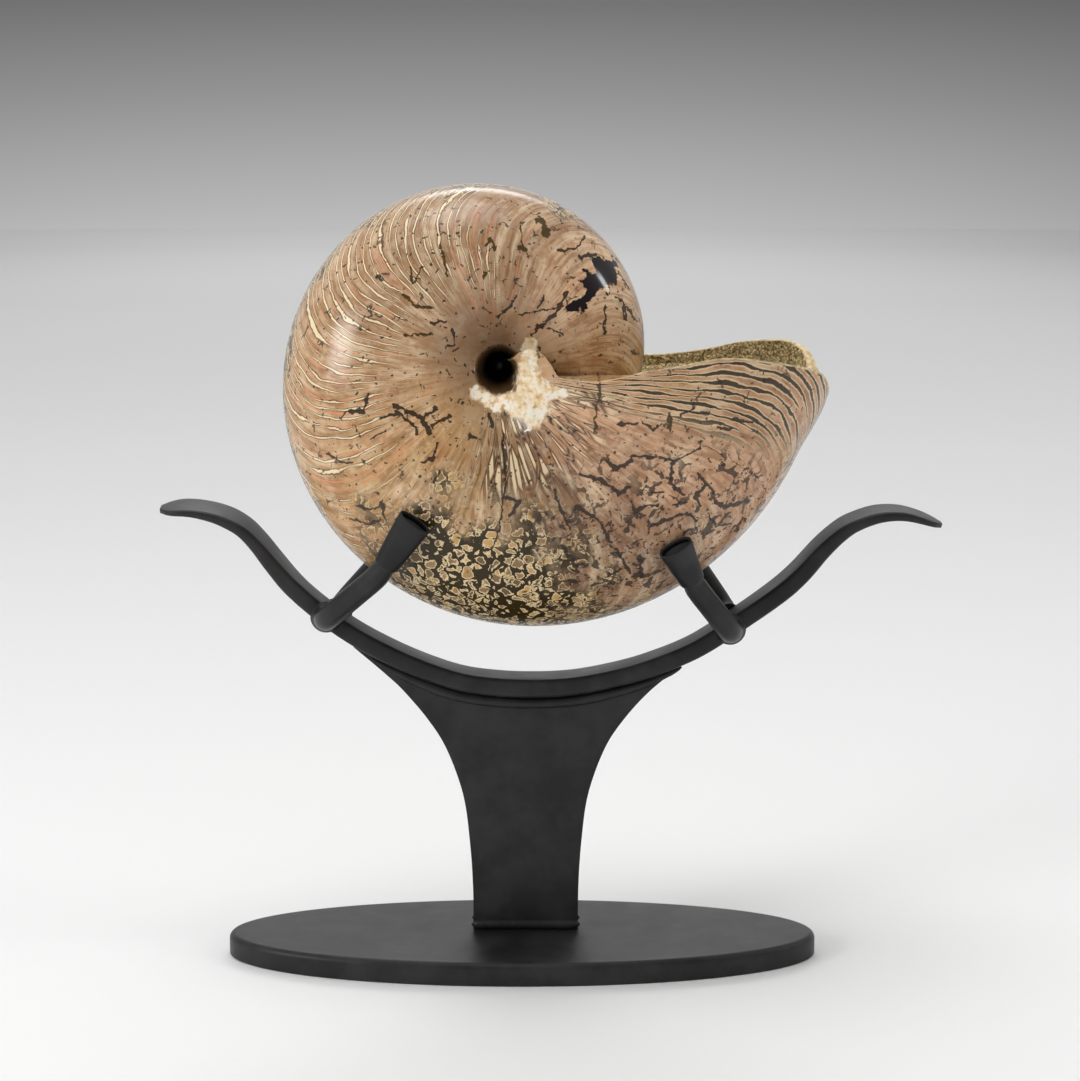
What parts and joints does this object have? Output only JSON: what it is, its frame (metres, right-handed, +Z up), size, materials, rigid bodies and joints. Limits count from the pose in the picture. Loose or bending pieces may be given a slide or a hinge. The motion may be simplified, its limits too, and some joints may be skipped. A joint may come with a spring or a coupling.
{
  "type": "polished nautilus fossil on a display stand",
  "caption": "Whole polished nautilus fossil resting on its venter in a black steel cradle stand with an oval base and padded arms.",
  "frame": {"origin": "on the underside of the base, below the middle of the column", "axes": "+Z up, +X along the rail towards the shell's mouth, +Y away from the viewer, along the shell's coiling axis"},
  "size_m": [0.2135, 0.0909, 0.2133],
  "materials": {
    "black_coat": "satin",
    "black_sleeve": "matte",
    "fossil": "polished"
  },
  "bodies": {
    "root": {"base": "black_coat", "column": "black_coat", "rail": "black_coat", "arm_front_left": "black_coat", "sleeve_front_left": "black_sleeve", "arm_front_right": "black_coat", "sleeve_front_right": "black_sleeve", "arm_rear_left": "black_coat", "sleeve_rear_left": "black_sleeve", "arm_rear_right": "black_coat", "sleeve_rear_right": "black_sleeve", "nautilus_fossil": "fossil"}
  },
  "joints": []
}
